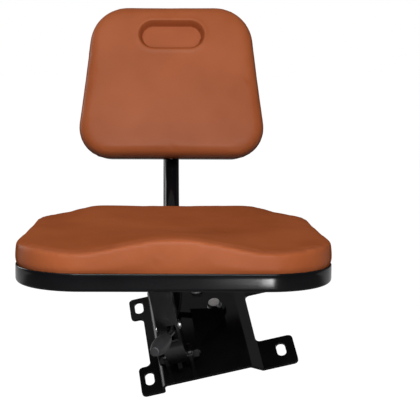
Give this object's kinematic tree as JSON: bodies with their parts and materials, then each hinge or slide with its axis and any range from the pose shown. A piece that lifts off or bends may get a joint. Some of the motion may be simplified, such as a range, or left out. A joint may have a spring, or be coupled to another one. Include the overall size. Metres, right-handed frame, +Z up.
{
  "type": "tractor passenger seat",
  "caption": "Padded passenger seat with a backrest on a bent tube, a folding channel arm with a release lever and a slotted steel fender bracket.",
  "frame": {"origin": "back face of the bracket's left flange, midway between its two slots", "axes": "+X across the seat to the right as seen from the front, +Y to the rear, +Z up"},
  "size_m": [0.4014, 0.5846, 0.5551],
  "materials": {
    "brown_leather": "smooth, low sheen",
    "gloss_black_rim": "gloss",
    "gloss_black_tube": "gloss",
    "black_steel": "satin powder coat",
    "zinc": "zinc plated",
    "bush_plastic": "matt",
    "black_plastic": "matt",
    "grey_grip": "satin moulded"
  },
  "bodies": {
    "bracket": {"mount_bracket": "black_steel", "hinge_ears": "black_steel", "latch_sector": "black_steel", "arm_pivot_bolt": "black_steel", "arm_pivot_washers": "black_steel", "arm_pivot_nut": "black_steel", "backrest_tube": "gloss_black_tube", "tube_end_cap": "black_plastic", "tube_foot": "black_steel", "foot_bolts": "zinc", "foot_washers": "zinc", "foot_nuts": "zinc", "backrest_cushion": "brown_leather", "backrest_shell": "gloss_black_rim", "backrest_plate": "black_steel", "backrest_screws": "zinc"},
    "seat": {"seat_cushion": "brown_leather", "seat_pan": "gloss_black_rim", "seat_mount_plate": "black_steel", "seat_plate_bolts": "zinc", "seat_arm": "black_steel", "arm_bush": "bush_plastic", "lever_pin": "zinc", "lever_pin_clips": "zinc", "lever_return_spring": "zinc"},
    "lever": {"release_lever": "black_steel", "lever_grip": "grey_grip"}
  },
  "joints": [
    {"name": "seat_fold", "type": "hinge", "parent": "bracket", "child": "seat", "pos_m": [0.03912, -0.07908, -0.00053], "axis": [0.9744, 0, 0.225], "range_deg": [0, 45]},
    {"name": "release_lever", "type": "hinge", "parent": "seat", "child": "lever", "pos_m": [0.02398, -0.185, 0.06506], "axis": [0.9744, 0, 0.225], "range_deg": [0, 14], "stiffness_Nm_per_rad": 1.5, "springref_deg": -20.05}
  ]
}
